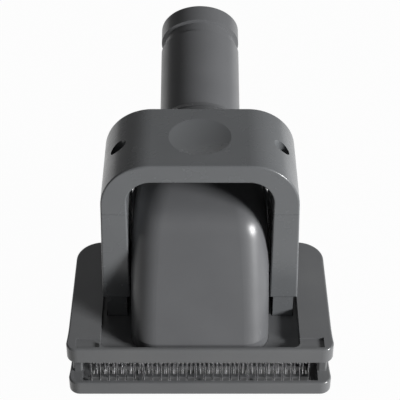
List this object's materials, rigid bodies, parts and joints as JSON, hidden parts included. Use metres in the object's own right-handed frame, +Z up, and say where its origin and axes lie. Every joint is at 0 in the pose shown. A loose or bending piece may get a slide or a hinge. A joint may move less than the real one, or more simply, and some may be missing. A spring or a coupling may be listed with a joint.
{
  "type": "vacuum pet grooming brush",
  "caption": "Vacuum pet grooming brush: a hose spigot leads into a hood over a bed of wire pins, and a sprung press arch pushes the pins out through a slotted comb plate.",
  "frame": {"origin": "middle of the comb plate's underside, the face that lies on the coat", "axes": "+X to the right seen from the front, +Y back towards the hose, +Z up from the comb face"},
  "size_m": [0.105, 0.1403, 0.104],
  "materials": {
    "duct_plastic": "satin moulded ABS",
    "head_plastic": "satin moulded ABS",
    "press_plastic": "satin moulded ABS",
    "carrier_plastic": "moulded, dark",
    "pin_steel": "bright drawn wire",
    "spring_steel": "spring wire",
    "screw_steel": "blackened zinc plate"
  },
  "bodies": {
    "head": {"air_duct": "duct_plastic", "base_plate": "head_plastic", "comb_plate": "head_plastic", "duct_screws": "screw_steel", "comb_screws": "screw_steel", "left_spring": "spring_steel", "right_spring": "spring_steel"},
    "press": {"press_cap": "press_plastic", "left_leg": "press_plastic", "right_leg": "press_plastic", "cap_screws": "screw_steel", "bristle_carrier": "carrier_plastic", "carrier_screws": "screw_steel", "pin_row_01": "pin_steel", "pin_row_02": "pin_steel", "pin_row_03": "pin_steel", "pin_row_04": "pin_steel", "pin_row_05": "pin_steel", "pin_row_06": "pin_steel", "pin_row_07": "pin_steel", "pin_row_08": "pin_steel", "pin_row_09": "pin_steel", "pin_row_10": "pin_steel"}
  },
  "joints": [
    {"name": "press_slide", "type": "slide", "parent": "head", "child": "press", "axis": [0, 0, -1], "range_m": [0, 0.007], "stiffness_N_per_m": 300, "springref_m": -0.008, "deforming": ["left_spring", "right_spring"]}
  ]
}
